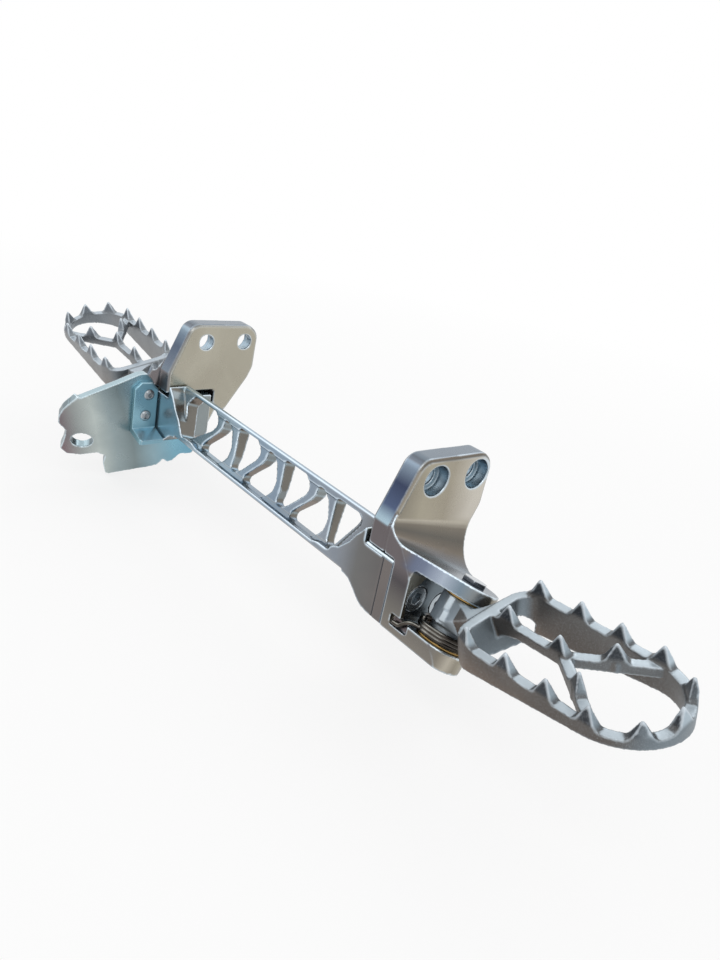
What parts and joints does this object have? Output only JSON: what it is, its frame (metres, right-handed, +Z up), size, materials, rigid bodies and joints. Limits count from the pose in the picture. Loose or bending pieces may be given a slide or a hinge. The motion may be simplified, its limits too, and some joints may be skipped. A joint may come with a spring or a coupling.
{
  "type": "motorcycle footpeg bar",
  "caption": "Machined truss crossbar between two frame brackets, each with a sprung folding toothed footpeg, and a stand plate on the left end",
  "frame": {"origin": "centre of the right bracket's bolt pattern, on the inner face that sits against the motorcycle's frame", "axes": "+X is the rider's right, outwards from the frame on that side, +Y is the front, +Z is up"},
  "size_m": [0.5512, 0.1304, 0.1192],
  "materials": {
    "machined_aluminium": "milled, clear anodised",
    "zinc_steel": "bright zinc plated",
    "screw_steel": "plain, slightly oiled",
    "blasted_steel": "cast and bead blasted",
    "brass": "turned",
    "spring_steel": "oiled spring wire"
  },
  "bodies": {
    "frame_bar": {"crossbar": "machined_aluminium", "right_bracket": "machined_aluminium", "left_bracket": "machined_aluminium", "right_spacer": "machined_aluminium", "stand_plate": "zinc_steel", "switch_tab": "zinc_steel", "switch_screws": "screw_steel", "right_pin": "screw_steel", "left_pin": "screw_steel", "right_spring": "spring_steel", "left_spring": "spring_steel", "right_top_washer": "brass", "right_bottom_washer": "brass", "left_top_washer": "brass", "left_bottom_washer": "brass", "right_joint_screws": "screw_steel", "left_joint_screws": "screw_steel"},
    "right_footpeg": {"right_peg": "blasted_steel", "right_bush": "brass"},
    "left_footpeg": {"left_peg": "blasted_steel", "left_bush": "brass"}
  },
  "joints": [
    {"name": "right_peg_fold", "type": "hinge", "parent": "frame_bar", "child": "right_footpeg", "pos_m": [0.0495, -0.027, -0.069], "axis": [0, -0.4226, -0.9063], "range_deg": [0, 60], "stiffness_Nm_per_rad": 0.6, "springref_deg": -28.65},
    {"name": "left_peg_fold", "type": "hinge", "parent": "frame_bar", "child": "left_footpeg", "pos_m": [-0.2605, -0.027, -0.069], "axis": [0, 0.4226, 0.9063], "range_deg": [0, 60], "stiffness_Nm_per_rad": 0.6, "springref_deg": -28.65}
  ]
}
